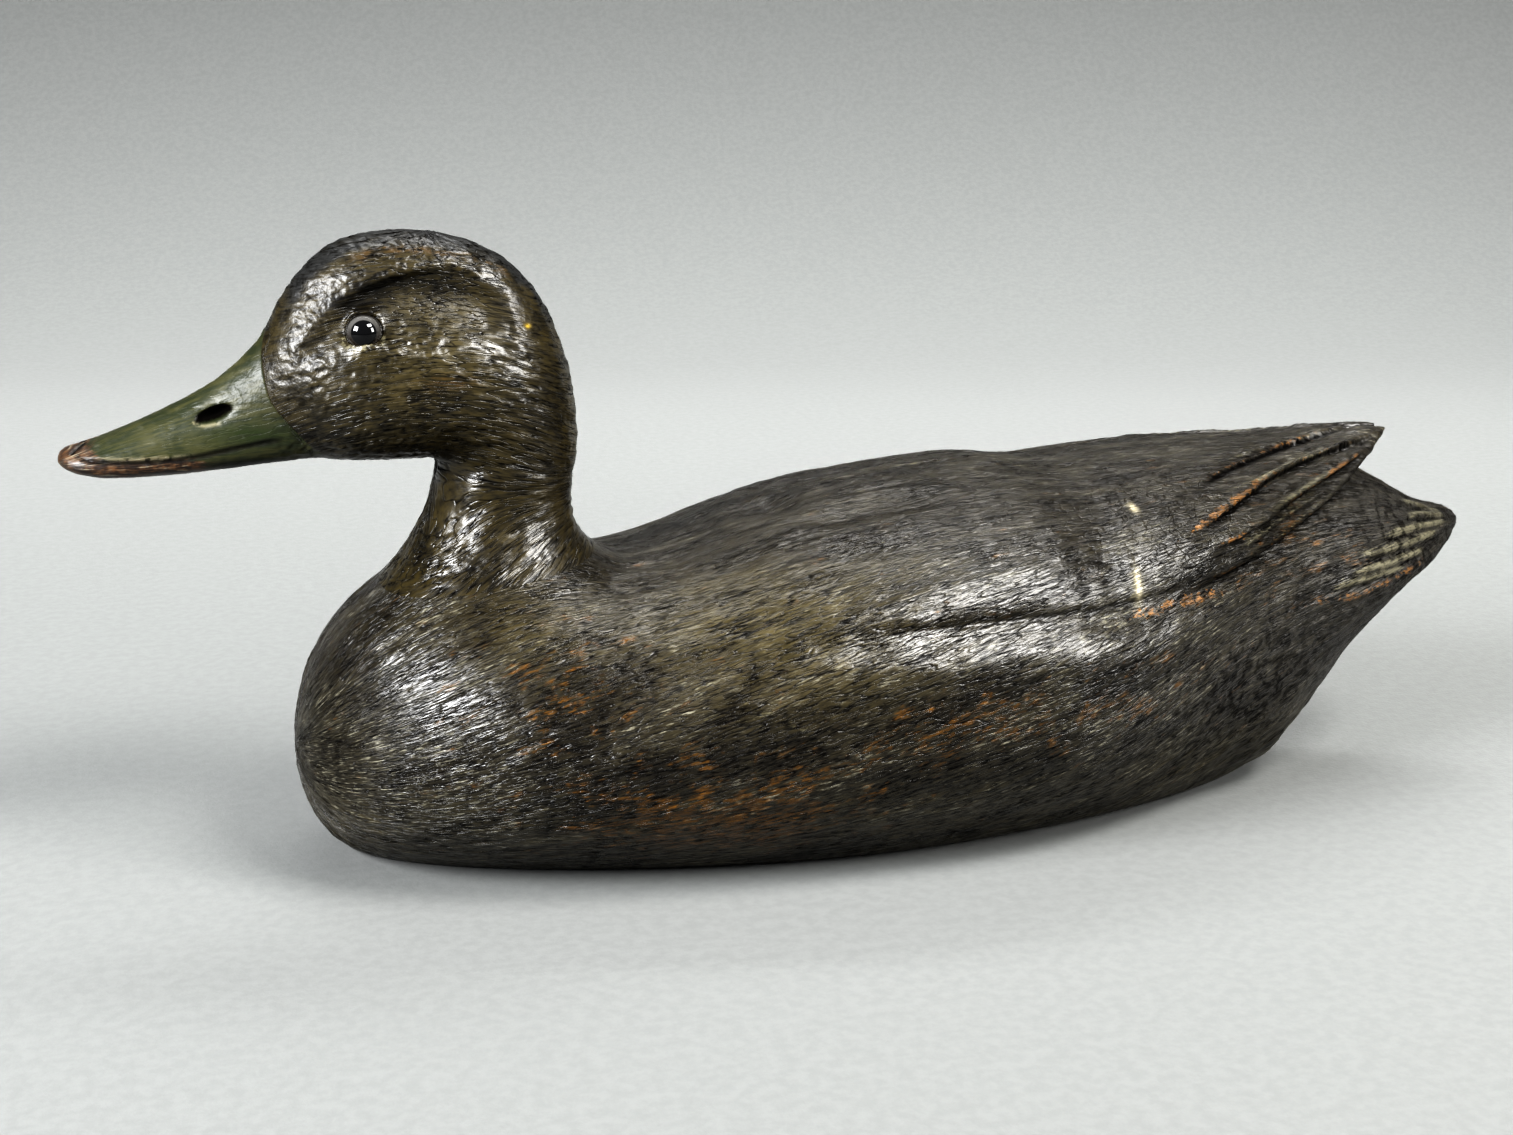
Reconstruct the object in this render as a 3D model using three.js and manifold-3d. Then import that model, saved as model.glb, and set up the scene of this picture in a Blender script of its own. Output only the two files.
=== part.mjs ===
// A carved and painted wooden decoy of a black duck: body, head and two glass eyes.
// Millimetres. X runs from the bill (-X) to the tail (+X), Y across, Z up from the flat base.
import * as THREE from 'three';
import { mergeVertices } from 'three/addons/utils/BufferGeometryUtils.js';
import Module from 'manifold-3d';

const wasm = await Module();
wasm.setup();

// Driving sizes of the body
const breastX = -161.5;
const breastHeight = 33;
const shoulderX = -105;
const shoulderHeight = 90;
const widestX = 15;
const halfBeam = 79;
const tailTipX = 220.6;
const baseFrontX = -141;
const baseHalfLength = 148.8;
const baseHalfWidth = 50;
const baseFullness = 1.7;
const baseEdgeHeight = 3.2;
const baseEdgeWidth = 5.5;

// Driving sizes of the folded wings
const wingFrontX = 52;
const wingTipX = 189;
const wingTipSide = 3;
const featherStep = 1.9;
const grooveDepth = 2.4;
const fluteDepth = 0.7;

// Driving sizes of the head, neck and bill
const throat = { x: -117.2, z: 118.8 };
const billTipX = -220.6;
const billLineX = -161.5;
const billStep = 0.9;
const neckSeat = { x: -104.5, z: 86.2, slope: 0.135 };
const neckHeight = 31;
const neckFootWidth = 32;
const seatGap = 0.3;
const collarSpread = 10;
const collarDrop = 8;
const eyeSeat = { x: -137.7, y: 19.6, z: 157.5 };
const eyeRadius = 5;
const eyeChannel = {
  middleX: -125, halfLength: 29, browHeight: 169.5, browBow: 0.0035, above: 3.5, below: 19, depth: 5,
};
const nostril = { x: -178.2, y: 9.6, z: 135.4, length: 11, height: 3.4, depth: 5, tilt: 19 };

const degrees = Math.PI / 180;

function mix(a, b, t) {
  return a + (b - a) * t;
}

function ramp(from, to, x) {
  return THREE.MathUtils.smoothstep(x, from, to);
}

function bump(x, centre, reach) {
  return Math.exp(-(((x - centre) / reach) ** 2));
}

// The height of a rounded end at a distance from its middle, both as shares of the full size
function roundEnd(share, fullness) {
  return Math.max(0, 1 - Math.abs(share) ** fullness) ** (1 / fullness);
}

// A smooth line through [place, value] points that never overshoots them
function smoothLine(points) {
  const secant = (i) => (points[i + 1][1] - points[i][1]) / (points[i + 1][0] - points[i][0]);
  const slopes = points.map((point, i) => {
    if (i === 0) return secant(0);
    if (i === points.length - 1) return secant(i - 1);
    const before = secant(i - 1);
    const after = secant(i);
    return before * after <= 0 ? 0 : (2 * before * after) / (before + after);
  });
  return (x) => {
    const last = points.length - 1;
    if (x <= points[0][0]) return points[0][1];
    if (x >= points[last][0]) return points[last][1];
    const i = points.findIndex((point) => point[0] > x) - 1;
    const width = points[i + 1][0] - points[i][0];
    const t = (x - points[i][0]) / width;
    const lift = (slopes[i] * (1 - t) - slopes[i + 1] * t) * t * (1 - t) * width;
    const ease = t * t * (3 - 2 * t);
    return mix(points[i][1], points[i + 1][1], ease) + lift;
  };
}

// A closed skin over rings of points, with a fan of triangles to a middle point at each end
function loft(rings) {
  const count = rings[0].length;
  const middle = (ring) => {
    const sum = ring.reduce((total, point) => total.add(point), new THREE.Vector3());
    return sum.divideScalar(ring.length);
  };
  const points = [...rings.flat(), middle(rings[0]), middle(rings[rings.length - 1])];
  const places = points.flatMap((point) => [point.x, point.y, point.z]);
  const startPole = points.length - 2;
  const endPole = points.length - 1;
  const lastRing = (rings.length - 1) * count;
  const index = [];
  for (let k = 0; k < count; k += 1) {
    const next = (k + 1) % count;
    index.push(startPole, next, k);
    index.push(endPole, lastRing + k, lastRing + next);
    for (let ring = 0; ring < rings.length - 1; ring += 1) {
      const here = ring * count;
      const there = here + count;
      index.push(here + k, here + next, there + next);
      index.push(here + k, there + next, there + k);
    }
  }
  const geometry = new THREE.BufferGeometry();
  geometry.setAttribute('position', new THREE.Float32BufferAttribute(places, 3));
  geometry.setIndex(index);
  return geometry;
}

// A solid from a closed geometry, turned right side out, without the triangles that have shrunk to a line
function toSolid(geometry) {
  const bare = geometry.clone();
  bare.deleteAttribute('normal');
  bare.deleteAttribute('uv');
  const merged = mergeVertices(bare, 1e-3);
  const corners = merged.index.array;
  const vertProperties = new Float32Array(merged.attributes.position.array);
  const kept = [];
  const a = new THREE.Vector3();
  const b = new THREE.Vector3();
  const c = new THREE.Vector3();
  let volume = 0;
  for (let i = 0; i < corners.length; i += 3) {
    const [p, q, r] = corners.slice(i, i + 3);
    if (p === q || q === r || r === p) continue;
    kept.push([p, q, r]);
    a.fromArray(vertProperties, 3 * p);
    b.fromArray(vertProperties, 3 * q);
    c.fromArray(vertProperties, 3 * r);
    volume += a.dot(b.cross(c));
  }
  const outward = volume > 0 ? kept : kept.map(([p, q, r]) => [p, r, q]);
  const triVerts = new Uint32Array(outward.flat());
  return new wasm.Manifold(new wasm.Mesh({ numProp: 3, vertProperties, triVerts }));
}

function toGeometry(solid) {
  const mesh = solid.getMesh();
  const geometry = new THREE.BufferGeometry();
  geometry.setAttribute('position', new THREE.BufferAttribute(new Float32Array(mesh.vertProperties), 3));
  geometry.setIndex(new THREE.BufferAttribute(new Uint32Array(mesh.triVerts), 1));
  const loose = geometry.toNonIndexed();
  loose.computeVertexNormals();
  return loose;
}

// Lines of the body in side view and in plan, each a value for a place along X
const backLine = smoothLine([
  [shoulderX, shoulderHeight], [-74, 85.4], [-60, 86], [-46, 89], [-22, 97], [0, 102], [25, 105.2],
  [45, 107], [54, 107.2], [65, 105.8], [85, 105.4], [110, 104.5], [150, 103.5], [172, 101],
  [192, 91.5], [203, 85.7], [214, 83.2], [tailTipX, 79],
]);
const underLine = smoothLine([
  [baseHalfLength - 4, 0], [154, 7], [167, 23], [179, 38.5], [190, 55.5], [198, 64], [208, 68.6],
  [tailTipX, 75.8],
]);
const beamHeight = smoothLine([
  [breastX, breastHeight], [-100, 43], [0, 50], [70, 54], [119, 62], [150, 64], [172, 64],
  [192, 67], [208, 71], [tailTipX, 77],
]);
const beamWidth = smoothLine([
  [widestX, halfBeam], [45, 77], [80, 67], [119, 50], [147, 40], [170, 34], [192, 24.5], [207, 13.5],
  [tailTipX, 0.8],
]);

function bodyTop(x) {
  if (x > shoulderX) return backLine(x);
  const share = (shoulderX - x) / (shoulderX - breastX);
  return breastHeight + (shoulderHeight - breastHeight) * roundEnd(share, 2.06);
}

function bodyUnder(x) {
  if (x > baseFrontX) return underLine(x);
  const share = (baseFrontX - x) / (baseFrontX - breastX);
  return breastHeight * (1 - roundEnd(share, 1.95));
}

function bodyWidth(x) {
  if (x > widestX) return beamWidth(x);
  return halfBeam * roundEnd((widestX - x) / (widestX - breastX), 2.35);
}

function baseWidth(x) {
  return baseHalfWidth * roundEnd(Math.min(1, Math.abs(x) / baseHalfLength), baseFullness);
}

// The angle from the crown of a section down to the groove between the folded wing and the flank
const grooveAngle = smoothLine([[-45, 63], [26, 66], [75, 69], [103, 67], [130, 62]]);
const crownSteps = 8;
const flankSteps = 4;
const grooveReach = 7;

function sectionAngles(x) {
  const groove = grooveAngle(x);
  const angles = [];
  for (let i = 0; i <= crownSteps; i += 1) angles.push(((groove - grooveReach) * i) / crownSteps);
  angles.push(groove);
  for (let i = 0; i <= flankSteps; i += 1) {
    angles.push(mix(groove + grooveReach, 90, i / flankSteps));
  }
  return angles.map((angle) => angle * degrees);
}

// Half of the body's section at x, from the crown down the near side to the middle of the base
function bodySection(x) {
  const width = bodyWidth(x);
  const top = bodyTop(x);
  const beam = beamHeight(x);
  const under = bodyUnder(x);
  const fullness = mix(2.15, 2.4, ramp(-90, 0, x)) - 0.4 * ramp(90, 150, x);
  const lowerFullness = mix(2, 1.2, ramp(130, 178, x));
  const depth = grooveDepth * ramp(-45, 20, x) * (1 - ramp(95, 125, x));
  const flutes = fluteDepth * ramp(158, 185, x) * (1 - ramp(219, tailTipX, x));
  const half = sectionAngles(x).map((angle, i) => {
    const across = Math.sin(angle) ** (2 / fullness);
    const up = Math.cos(angle) ** (2 / fullness);
    const steepness = up ** (fullness - 1) / (top - beam);
    const normal = new THREE.Vector2(across ** (fullness - 1) / width, steepness);
    normal.normalize();
    const groove = -depth * bump(angle / degrees, grooveAngle(x), 0.8 * grooveReach);
    const bulge = 0.6 * depth * bump(angle / degrees, grooveAngle(x) + 1.7 * grooveReach, grooveReach);
    const flute = flutes * (i % 2 ? 1 : -1) * Math.sin(2 * angle);
    const offset = groove + bulge + flute;
    return [width * across + normal.x * offset, beam + (top - beam) * up + normal.y * offset];
  });
  const base = Math.min(baseWidth(x), 0.97 * width);
  const edge = Math.min(1, base / (2 * baseEdgeWidth));
  const edgeHeight = baseEdgeHeight * edge;
  const round = ramp(110, 165, x);
  const lowerSteps = 6;
  for (let i = 1; i <= lowerSteps; i += 1) {
    const t = i / lowerSteps;
    const sideY = base + (width - base) * (1 - t ** 2.2);
    const sideZ = mix(beam, under + edgeHeight, t);
    const roundY = base + (width - base) * Math.cos(t * 90 * degrees) ** (2 / lowerFullness);
    const roundZ = mix(beam, under + edgeHeight, Math.sin(t * 90 * degrees) ** (2 / lowerFullness));
    half.push([mix(sideY, roundY, round), mix(sideZ, roundZ, round)]);
  }
  half.push([Math.max(0, base - baseEdgeWidth * edge), under]);
  half.push([0, under]);
  return half;
}

// A full ring at x from half a section, with its mirror image on the other side
function ringFromHalf(x, half) {
  const near = half.map(([y, z]) => new THREE.Vector3(x, -Math.abs(y), z));
  const far = half.slice(1, -1).reverse().map(([y, z]) => new THREE.Vector3(x, Math.abs(y), z));
  return [...near, ...far];
}

// Places of the sections: close together where the breast and the tail end turn sharply
function bodyPlaces() {
  const places = [];
  const noseSteps = 12;
  const noseEnd = -100;
  for (let i = 0; i <= noseSteps; i += 1) {
    const t = mix(0.06, 1, i / noseSteps);
    places.push(mix(breastX, noseEnd, 1 - Math.cos(t * 90 * degrees)));
  }
  const middleSteps = 21;
  const middleEnd = 145;
  for (let i = 1; i <= middleSteps; i += 1) places.push(mix(noseEnd, middleEnd, i / middleSteps));
  const tailSteps = 16;
  for (let i = 1; i <= tailSteps; i += 1) {
    const t = i / tailSteps;
    places.push(mix(middleEnd, tailTipX, 0.6 * t + 0.4 * Math.sin(t * 90 * degrees)));
  }
  return places;
}

function bodySolid() {
  return toSolid(loft(bodyPlaces().map((x) => ringFromHalf(x, bodySection(x)))));
}

// Lines of a folded wing: its top along the back, and its lower edge
const wingTop = smoothLine([
  [wingFrontX, 103.5], [66, 105.2], [85, 107], [110, 108.6], [150, 110.2], [175, 112], [183, 112.4],
  [wingTipX, 111.6],
]);
const wingInner = smoothLine([[150, -1], [166, 0.4], [180, 1.5], [wingTipX, wingTipSide - 0.6]]);
const wingEdgeSide = smoothLine([
  [wingFrontX, 67], [80, 62], [103, 54.5], [125, 44], [145, 31.5], [160, 23.5], [172, 16.2],
  [180, 11], [186, 6.4], [wingTipX, wingTipSide + 0.6],
]);
const wingEdgeHeight = smoothLine([
  [wingFrontX, 74.5], [80, 76.5], [103, 80.3], [125, 85.6], [145, 90.8], [160, 95.8], [172, 100.8],
  [180, 105.2], [186, 109], [wingTipX, 110.6],
]);
const wingFullness = smoothLine([[60, 2], [95, 2.35], [130, 2.25], [165, 2]]);

// Shares of the way down the wing at which one primary feather ends and the next begins
const featherLines = [
  smoothLine([[88, 0.5], [123, 0.35], [154, 0.22], [wingTipX, 0.06]]),
  smoothLine([[88, 0.77], [113, 0.66], [135, 0.56], [155, 0.47], [wingTipX, 0.24]]),
  smoothLine([[88, 0.9], [126, 0.85], [151, 0.77], [wingTipX, 0.7]]),
  () => 1,
];

// The near wing's section at x: out over the feathers to the lower edge, and back underneath
function wingRing(x) {
  const inner = wingInner(x);
  const edgeSide = wingEdgeSide(x);
  const top = wingTop(x);
  const edge = wingEdgeHeight(x);
  const fullness = wingFullness(x);
  const step = featherStep * ramp(86, 120, x) * mix(1, 0.35, ramp(160, wingTipX, x));
  const ring = [];
  const place = (share, lift) => {
    const angle = share * 90 * degrees;
    const across = Math.sin(angle) ** (2 / fullness);
    const up = Math.cos(angle) ** (2 / fullness);
    const y = mix(inner, edgeSide, across) + lift * Math.sin(angle);
    ring.push(new THREE.Vector3(x, -y, mix(edge, top, up) + lift * Math.cos(angle)));
  };
  let start = 0;
  for (const line of featherLines) {
    const end = line(x);
    const isFirst = start === 0;
    for (const t of [0, 0.35, 0.7, 0.97]) {
      const lift = isFirst ? 0.6 * step * ramp(0.3, 1, t) : step * mix(-0.4, 0.6, t);
      place(mix(start, end, t), lift);
    }
    start = end;
  }
  const under = 1 + 0.12 * (top - edge);
  ring.push(new THREE.Vector3(x, -(edgeSide - 0.5 * under), edge - 0.4));
  ring.push(new THREE.Vector3(x, -mix(inner, edgeSide, 0.45), edge - under));
  ring.push(new THREE.Vector3(x, -inner, edge - under));
  return ring;
}

function wingSolid() {
  const steps = 21;
  const rings = [];
  for (let i = 0; i <= steps; i += 1) {
    const t = i / steps;
    rings.push(wingRing(mix(wingFrontX, wingTipX, 0.75 * t + 0.25 * Math.sin(t * 90 * degrees))));
  }
  return toSolid(loft(rings));
}

function mirrored(solid) {
  return solid.mirror([0, 1, 0]);
}

// Lines of the bill and head in side view, up to the throat
const headTop = smoothLine([
  [billTipX, 124.2], [-218.8, 126.2], [-212, 127.9], [-196, 134], [-180, 141.4], [-168, 150],
  [-162.5, 155.8], [-158.3, 163.8], [-151, 174], [-144, 179.5], [-136, 182.2], [-126, 183.3],
  [throat.x, 182.4],
]);
const headUnder = smoothLine([
  [billTipX, 122.6], [-217, 120.2], [-208, 118.1], [-190, 117.7], [-160, 120.2], [-135, 119],
  [throat.x, throat.z],
]);
const headWidth = smoothLine([
  [billTipX, 5], [-218.6, 9], [-213, 12.2], [-204, 13.4], [-190, 12.6], [-174, 12.6], [-162.5, 14.2],
  [-155, 19], [-145, 23.8], [-132, 26.6], [throat.x, 27],
]);
const headWidest = smoothLine([
  [billTipX, 0.45], [-205, 0.3], [-175, 0.25], [-160, 0.32], [-140, 0.37], [throat.x, 0.36],
]);

// Round the throat the sections fan out, and reach the back of the head by their angle above level
const fanReach = smoothLine([
  [0, 40.3], [15, 42], [30, 45], [45, 50], [60, 56.4], [75, 61.2], [90, 63.6],
]);
const fanWidth = smoothLine([[0, 21.5], [30, 24], [60, 26.4], [90, 27]]);

// Lines of the neck below the throat, by height above the seat
const neckFront = smoothLine([
  [0, -135], [4, -130], [9, -125.6], [15, -121.6], [23, -118.4], [neckHeight, throat.x],
]);
const neckBack = smoothLine([
  [0, -72.5], [3.5, -75.4], [9, -78.2], [17, -79], [neckHeight, throat.x + 40.3],
]);
const neckWidth = smoothLine([[0, neckFootWidth], [4, 28], [10, 24], [18, 21.2], [neckHeight, 21.5]]);

// The dished channel for the eye, under the brow and behind the bill
function channelCut(x, z) {
  const fromMiddle = x - eyeChannel.middleX;
  const brow = eyeChannel.browHeight - eyeChannel.browBow * fromMiddle ** 2;
  const up = z > brow ? (z - brow) / eyeChannel.above : (brow - z) / eyeChannel.below;
  const along = Math.max(0, 1 - (fromMiddle / eyeChannel.halfLength) ** 4);
  return eyeChannel.depth * along * Math.max(0, 1 - up ** 2.2);
}

const ringCount = 28;
const jawFullness = 2.3;

// A ring of the head between a lower and an upper point of the middle plane
function headRing(lower, upper, width, widest, topFullness, channel) {
  const ring = [];
  for (let i = 0; i < ringCount; i += 1) {
    const angle = (i / ringCount) * 360 * degrees;
    const fullness = Math.cos(angle) > 0 ? topFullness : jawFullness;
    const across = Math.abs(Math.sin(angle)) ** (2 / fullness);
    const along = Math.abs(Math.cos(angle)) ** (2 / fullness);
    const height = Math.cos(angle) > 0 ? mix(widest, 1, along) : widest * (1 - along);
    const x = mix(lower.x, upper.x, height);
    const z = mix(lower.z, upper.z, height);
    const y = Math.max(0, width * across - channel(x, z) * across);
    ring.push(new THREE.Vector3(x, Math.sin(angle) < 0 ? y : -y, z));
  }
  return ring;
}

// The line where the feathered face meets the bill bows forward at mid height and back at the chin
function billLineBow(x, height) {
  const bow = mix(10, -2.5, ramp(0, 0.6, height)) + 1.5 * ramp(0.75, 1, height);
  return bow * bump(x, billLineX, 13);
}

function headRings() {
  const rings = [];
  const places = [billTipX + 0.2, -219.6, -217.6, -214, -208, -201, -193, -185, -177, -170, -165];
  places.push(billLineX - 0.5, billLineX + 0.5);
  places.push(-158.5, -154.5, -150, -145, -140, -135, -130, -124, throat.x);
  for (const x of places) {
    const lower = { x, z: headUnder(x) };
    const upper = { x, z: headTop(x) };
    const step = x < billLineX ? billStep : 0;
    const width = headWidth(x) - step;
    const ring = headRing(lower, upper, width, headWidest(x), 2, channelCut);
    for (const point of ring) {
      const height = (point.z - lower.z) / (upper.z - lower.z);
      point.x += billLineBow(x, height);
    }
    rings.push(ring);
  }
  const fanSteps = 9;
  for (let i = 1; i <= fanSteps; i += 1) {
    const angle = 90 - (90 * i) / fanSteps;
    const reach = fanReach(angle);
    const turn = angle * degrees;
    const upper = { x: throat.x + reach * Math.cos(turn), z: throat.z + reach * Math.sin(turn) };
    const widest = mix(0.5, 0.36, angle / 90);
    rings.push(headRing(throat, upper, fanWidth(angle), widest, 2.1, channelCut));
  }
  const neckSteps = 8;
  const seatAt = (x) => neckSeat.z + neckSeat.slope * (x - neckSeat.x);
  for (let i = 1; i <= neckSteps; i += 1) {
    const rise = neckHeight * (1 - Math.sin((i / neckSteps) * 90 * degrees));
    const front = neckFront(rise);
    const back = neckBack(rise);
    const lift = rise / neckHeight;
    const lower = { x: front, z: mix(seatAt(front), throat.z, lift) };
    const upper = { x: back, z: mix(seatAt(back), throat.z, lift) };
    rings.push(headRing(lower, upper, neckWidth(rise), 0.5, 2.2, () => 0));
  }
  return rings;
}

// The outline of the neck's foot, spread outwards and moved up or down
function footOutline(spread, lift) {
  const middle = new THREE.Vector3(neckSeat.x, 0, neckSeat.z);
  return headRings().at(-1).map((point) => {
    const out = point.clone().sub(middle).normalize();
    return point.clone().addScaledVector(out, spread).add(new THREE.Vector3(0, 0, lift));
  });
}

// The low collar on the breast that the neck stands on
function collarSolid() {
  return toSolid(loft([footOutline(0, -seatGap), footOutline(collarSpread, -collarDrop)]));
}

// Everything above the seat, inside the outline of the neck's foot
function seatCutter() {
  return toSolid(loft([footOutline(seatGap, -seatGap), footOutline(seatGap, 2 * neckHeight)]));
}

function eyeSphere(radius, side) {
  const geometry = new THREE.SphereGeometry(radius, 16, 10);
  geometry.rotateX(90 * degrees);
  return geometry.translate(eyeSeat.x, side * eyeSeat.y, eyeSeat.z);
}

function nostrilCutter(side) {
  const geometry = new THREE.SphereGeometry(1, 12, 6);
  geometry.scale(nostril.length / 2, nostril.depth, nostril.height / 2);
  geometry.rotateY(-nostril.tilt * degrees);
  return toSolid(geometry.translate(nostril.x, side * nostril.y, nostril.z));
}

function woodMesh(name, solid, colour, roughness) {
  const material = new THREE.MeshStandardMaterial({ color: colour, roughness, metalness: 0 });
  const mesh = new THREE.Mesh(toGeometry(solid), material);
  mesh.name = name;
  return mesh;
}

const duck = new THREE.Group();

const nearWing = wingSolid();
const winged = bodySolid().add(nearWing).add(mirrored(nearWing));
const body = winged.add(collarSolid()).subtract(seatCutter());
duck.add(woodMesh('body', body, 0x2e2924, 0.5));

let head = toSolid(loft(headRings()));
for (const side of [-1, 1]) {
  head = head.subtract(toSolid(eyeSphere(eyeRadius + seatGap, side))).subtract(nostrilCutter(side));
}
duck.add(woodMesh('head', head, 0x4a4028, 0.5));

for (const [name, side] of [['left_eye', -1], ['right_eye', 1]]) {
  const glass = { color: 0x0c0a08, roughness: 0.05, metalness: 0 };
  const ball = toSolid(eyeSphere(eyeRadius, side));
  const eye = new THREE.Mesh(toGeometry(ball), new THREE.MeshStandardMaterial(glass));
  eye.name = name;
  duck.add(eye);
}

export default duck;
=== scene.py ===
import math

import bmesh
import bpy
import numpy as np
from mathutils import Matrix, Vector, noise
from mathutils.bvhtree import BVHTree


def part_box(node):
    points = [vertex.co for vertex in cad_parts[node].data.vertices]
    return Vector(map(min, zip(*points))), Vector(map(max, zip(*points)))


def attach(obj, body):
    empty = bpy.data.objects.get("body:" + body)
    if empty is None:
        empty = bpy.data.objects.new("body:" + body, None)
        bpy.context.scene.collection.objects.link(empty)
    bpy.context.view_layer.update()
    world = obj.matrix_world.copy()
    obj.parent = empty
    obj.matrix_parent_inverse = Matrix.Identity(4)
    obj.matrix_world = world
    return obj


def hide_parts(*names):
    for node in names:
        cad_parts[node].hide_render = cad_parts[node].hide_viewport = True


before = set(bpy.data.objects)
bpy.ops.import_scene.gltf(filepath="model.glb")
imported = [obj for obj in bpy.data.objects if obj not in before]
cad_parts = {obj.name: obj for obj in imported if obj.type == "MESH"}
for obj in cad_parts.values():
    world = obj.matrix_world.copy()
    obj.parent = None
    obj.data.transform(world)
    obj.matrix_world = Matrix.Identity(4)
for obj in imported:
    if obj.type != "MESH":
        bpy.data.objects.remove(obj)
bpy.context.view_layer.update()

# The body is one block of wood, shaped with knife and rasp. Its folded wings, feather ends and
# fanned tail are cut in low relief, and the rasp's tracks still show through the oil paint,
# which handling has rubbed back to the orange undercoat along the raised edges.
mm = 0.001


def settle(piece):
    """Makes the result of the piece's modifiers its own mesh."""
    graph = bpy.context.evaluated_depsgraph_get()
    rough = piece.data
    shaped = bpy.data.meshes.new_from_object(piece.evaluated_get(graph), depsgraph=graph)
    piece.modifiers.clear()
    piece.data = shaped
    bpy.data.meshes.remove(rough)


def read_places(piece, what="co"):
    values = np.empty(3 * len(piece.data.vertices))
    piece.data.vertices.foreach_get(what, values)
    return values.reshape(-1, 3)


def write_places(piece, places):
    piece.data.vertices.foreach_set("co", places.ravel())
    piece.data.update()


def smoothed(piece, passes):
    """The piece's places after some passes of smoothing, which the piece itself doesn't get."""
    before = read_places(piece)
    smooth = piece.modifiers.new("smooth", "SMOOTH")
    smooth.factor = 0.5
    smooth.iterations = passes
    graph = bpy.context.evaluated_depsgraph_get()
    mesh = piece.evaluated_get(graph).data
    after = np.empty(before.size)
    mesh.vertices.foreach_get("co", after)
    piece.modifiers.clear()
    return before, after.reshape(-1, 3)


# The head's foot is glued flat onto a seat on the body, on a plane that rises a little to the rear.
seat_place = Vector((-104.5, 0, 86.2)) * mm
seat_up = Vector((-0.135, 0, 1)).normalized()
seat_end = -50 * mm

# The gap that is left for glue is closed while the skin is made. The last three are millimetres: how
# far from the seat and from the neck's middle the two woods are smoothed into one another, and how
# near the seam the carving fades out.
glue_gap = 0.5 * mm
foot_sunk = 3 * mm
seat_band = 6
neck_span = (60, 46)
seam_fade = (0.5, 4)


def cut_off(work, height, keep_above):
    """Saws a closed form along the seat's plane, at a height over it, and closes the sawn face.

    The plane would meet the back again further on, so the saw stops behind the neck."""
    place = seat_place + seat_up * height
    behind = [v for v in work.verts if v.co.x > seat_end]
    if keep_above:
        bmesh.ops.delete(work, geom=behind, context="VERTS")
        behind = []
    left = {item for v in behind for item in (v, *v.link_edges, *v.link_faces)}
    sawn = [item for items in (work.verts, work.edges, work.faces) for item in items if item not in left]
    ends = {"clear_inner": keep_above, "clear_outer": not keep_above}
    bmesh.ops.bisect_plane(work, geom=sawn, dist=1e-7, plane_co=place, plane_no=seat_up, **ends)
    rim = [edge for edge in work.edges if edge.is_boundary]
    faces = bmesh.ops.edgenet_fill(work, edges=rim)["faces"]
    for edge in rim:
        edge.smooth = False
    for face in faces:
        face.smooth = False
    bmesh.ops.recalc_face_normals(work, faces=work.faces)


def above_seat(places):
    """How far places given in millimetres lie over the seat's plane."""
    return (places - np.array(seat_place) / mm) @ np.array(seat_up)


def blank(name, grain, passes, most, spare, keep_above):
    """One of the two pieces of wood, sawn with some spare past the seat, its CAD facets melted away.

    The neck runs into the body without a step, so the smoothing goes over both pieces together."""
    work = bmesh.new()
    for node in ("body", "head"):
        work.from_mesh(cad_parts[node].data)
    bmesh.ops.remove_doubles(work, verts=work.verts, dist=0.001 * mm)
    foot = [v for v in work.verts if 0 < (v.co - seat_place).dot(seat_up) < glue_gap]
    bmesh.ops.translate(work, verts=foot, vec=(0, 0, -foot_sunk))
    cut_off(work, -spare if keep_above else spare, keep_above)
    mesh = bpy.data.meshes.new(name)
    work.to_mesh(mesh)
    work.free()
    piece = bpy.data.objects.new(name, mesh)
    bpy.context.scene.collection.objects.link(piece)
    remesh = piece.modifiers.new("skin", "REMESH")
    remesh.mode = "VOXEL"
    remesh.voxel_size = grain
    settle(piece)
    before, after = smoothed(piece, passes)
    moved = after - before
    far = np.linalg.norm(moved, axis=1, keepdims=True)
    write_places(piece, before + moved * np.minimum(1, most / np.maximum(far, 1e-9)))
    before, after = smoothed(piece, 3 * passes)
    from_neck = np.linalg.norm((before - np.array(seat_place))[:, :2], axis=1) / mm
    near_seat = np.exp(-((above_seat(before / mm) / seat_band) ** 2)) * ramp(*neck_span, from_neck)
    write_places(piece, before + (after - before) * near_seat[:, None])
    before, after = smoothed(piece, 4)
    write_places(piece, after)
    return piece


def ramp(low, high, value):
    t = np.clip((value - low) / (high - low), 0, 1)
    return t * t * (3 - 2 * t)


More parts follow.
